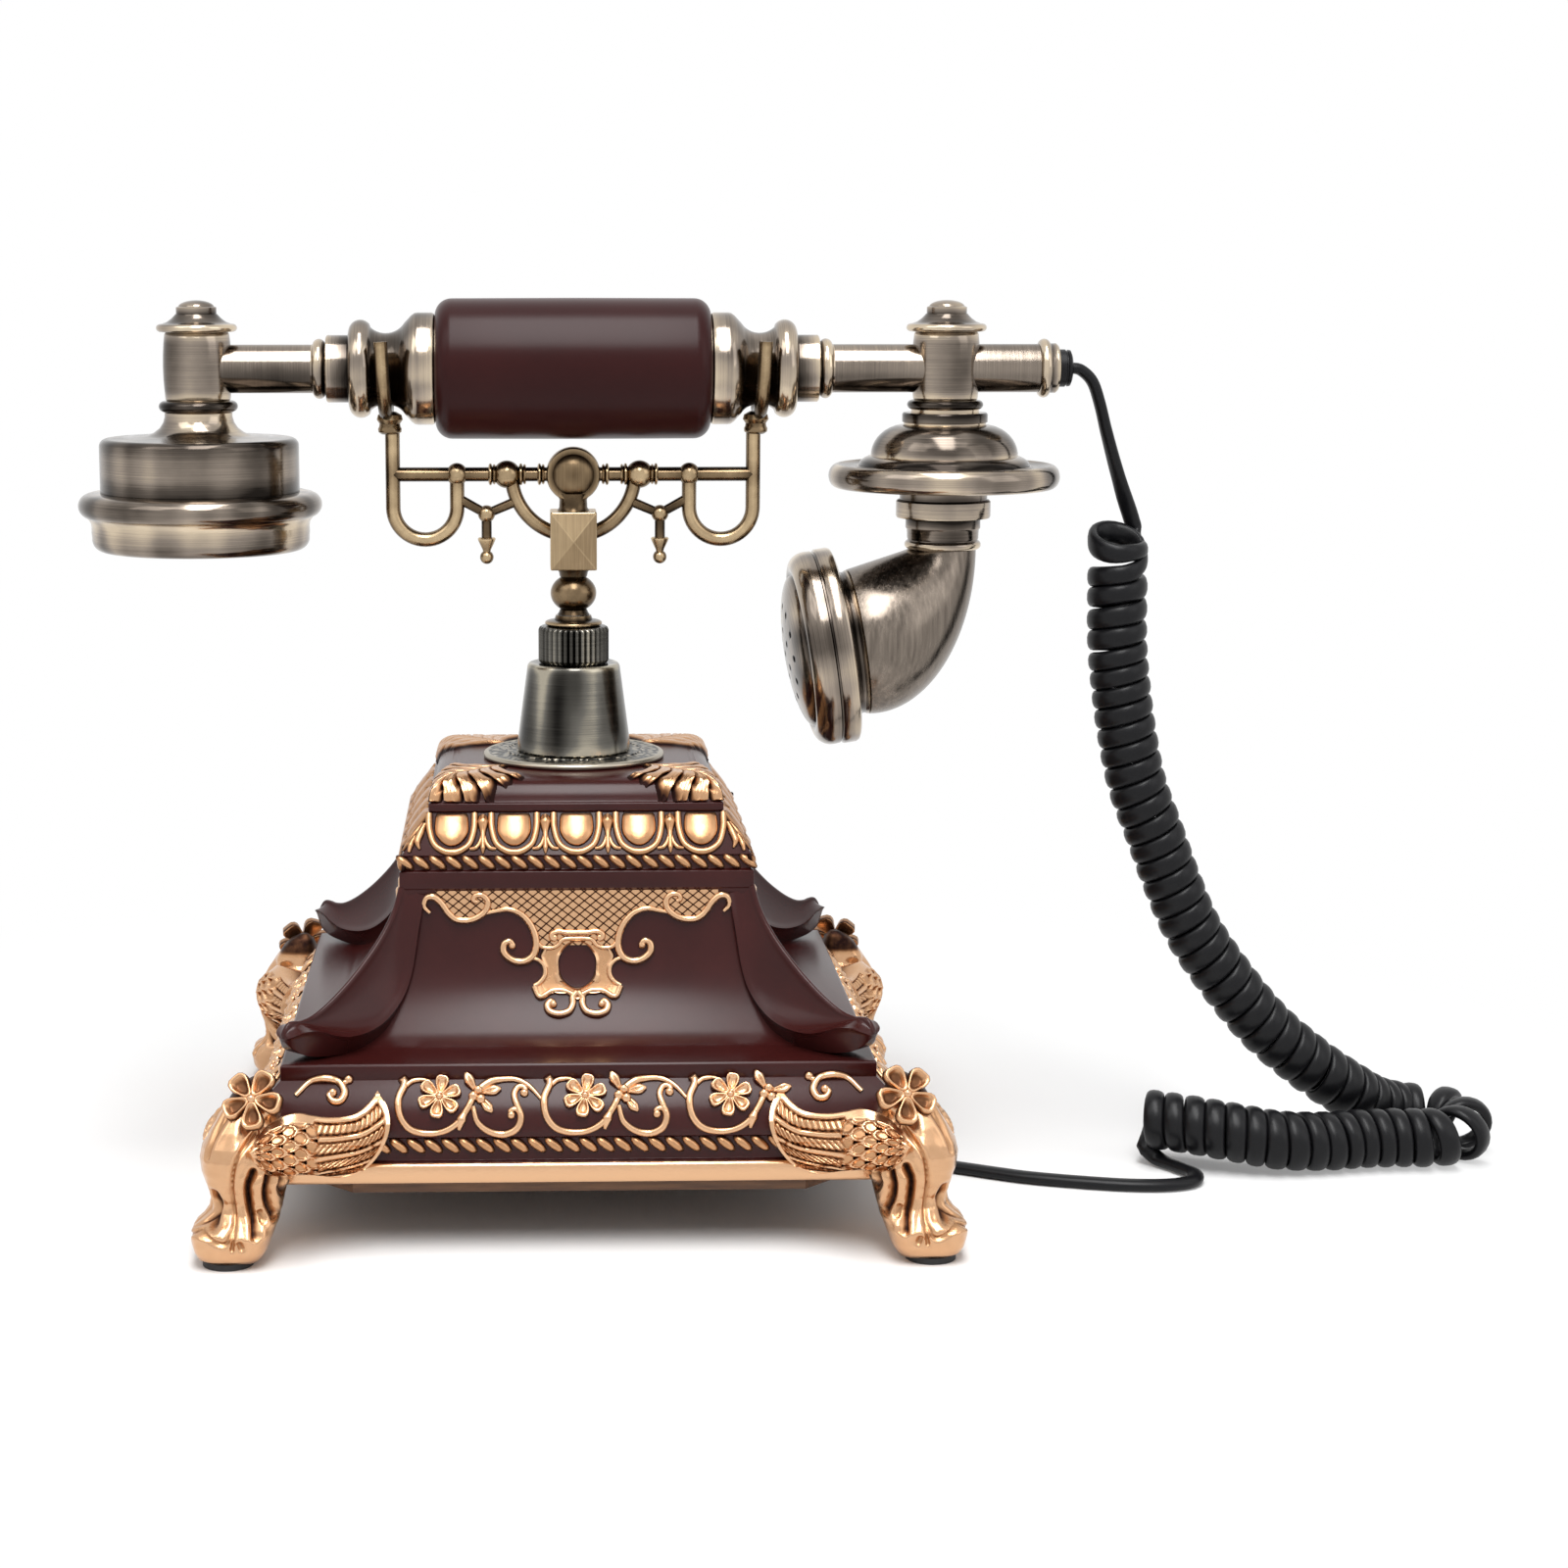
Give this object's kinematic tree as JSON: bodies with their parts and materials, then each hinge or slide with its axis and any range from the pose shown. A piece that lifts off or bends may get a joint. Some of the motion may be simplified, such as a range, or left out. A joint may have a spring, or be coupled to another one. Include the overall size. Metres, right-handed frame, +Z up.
{
  "type": "telephone",
  "caption": "Antique style table telephone with a carved square base on winged legs, a sprung cradle, a finger dial and a handset on a curly cord.",
  "frame": {"origin": "on the table under the middle of the base", "axes": "+X along the handset from ear to mouth, +Y towards the dial side, +Z up"},
  "size_m": [0.3669, 0.1816, 0.2234],
  "materials": {
    "resin": "semi-gloss dark maroon cast resin",
    "gilt": "copper gold paint, rubbed bright on the high parts",
    "rubber": "black, satin",
    "wood": "stained brown, satin",
    "dark_steel": "turned and browned steel",
    "old_brass": "antique brass, dark in the recesses",
    "bronze": "turned and brushed antique bronze",
    "works": "matt, out of sight",
    "enamel": "ivory enamel",
    "steel": "plain machined steel"
  },
  "bodies": {
    "base": {"base_shell": "resin", "corner_scrolls": "resin", "leg_front_left": "gilt", "leg_front_right": "gilt", "leg_back_left": "gilt", "leg_back_right": "gilt", "foot_pads": "rubber", "bottom_board": "wood", "bottom_screws": "steel", "line_socket": "rubber", "cord_gland": "rubber", "mast_flange": "dark_steel", "mast_cone": "dark_steel", "knurled_nut": "dark_steel", "collar_washer": "old_brass", "stem_bush": "old_brass", "mast_nut": "steel", "circuit_board": "works", "inner_pillars": "steel", "ringer_gongs": "old_brass", "ringer_frame": "steel", "ringer_coils": "works", "hook_switch": "works", "hook_spring": "steel", "dial_housing": "dark_steel", "number_plate": "enamel", "finger_stop": "steel", "dial_spring": "steel", "cord_upper_lead": "rubber", "curly_cord": "rubber", "cord_lower_lead": "rubber"},
    "cradle": {"cradle_frame": "old_brass", "cradle_stem": "steel", "fork_left": "old_brass", "fork_right": "old_brass"},
    "lever": {"hook_lever": "steel"},
    "ringer_hammer": {"hammer": "steel"},
    "dial": {"finger_wheel": "old_brass", "dial_cap": "old_brass", "dial_shaft": "steel"},
    "handset": {"handset_grip": "resin", "tie_rod": "steel", "grip_collars": "bronze", "arm_left": "bronze", "arm_right": "bronze", "ear_post": "bronze", "mouth_post": "bronze", "finials": "bronze", "ear_cup": "bronze", "ear_cap": "bronze", "receiver_capsule": "works", "mouth_dome": "bronze", "mouth_plate": "bronze", "mouth_neck": "bronze", "mouth_horn": "bronze", "mouth_cap": "bronze", "mouth_capsule": "works", "cord_boss": "bronze", "cord_bush": "rubber"}
  },
  "joints": [
    {"name": "handset_lift", "type": "slide", "parent": "base", "child": "handset", "axis": [0, 0, 1], "range_m": [0, 0.08], "deforming": ["cord_upper_lead", "curly_cord"]},
    {"name": "cradle_hook", "type": "slide", "parent": "base", "child": "cradle", "axis": [0, 0, 1], "range_m": [0, 0.0041], "stiffness_N_per_m": 150, "springref_m": 0.006, "deforming": ["hook_spring"]},
    {"name": "hook_lever", "type": "hinge", "parent": "base", "child": "lever", "pos_m": [0.014, 0, 0.08685], "axis": [0, 1, 0], "range_deg": [0, 14]},
    {"name": "dial_turn", "type": "hinge", "parent": "base", "child": "dial", "pos_m": [0, 0.056, 0.063], "axis": [0, -0.829, -0.5592], "range_deg": [0, 330], "stiffness_Nm_per_rad": 0.02, "springref_deg": -17.19, "deforming": ["dial_spring"]},
    {"name": "hammer_swing", "type": "hinge", "parent": "base", "child": "ringer_hammer", "pos_m": [0, -0.0034, 0.03], "axis": [0, 0, 1], "range_deg": [-4, 4], "stiffness_Nm_per_rad": 0.01}
  ],
  "couplings": [
    {"joint": "cradle_hook", "follows": "handset_lift", "ratio": 0.05},
    {"joint": "hook_lever", "follows": "handset_lift", "rad_per_m": 3}
  ]
}
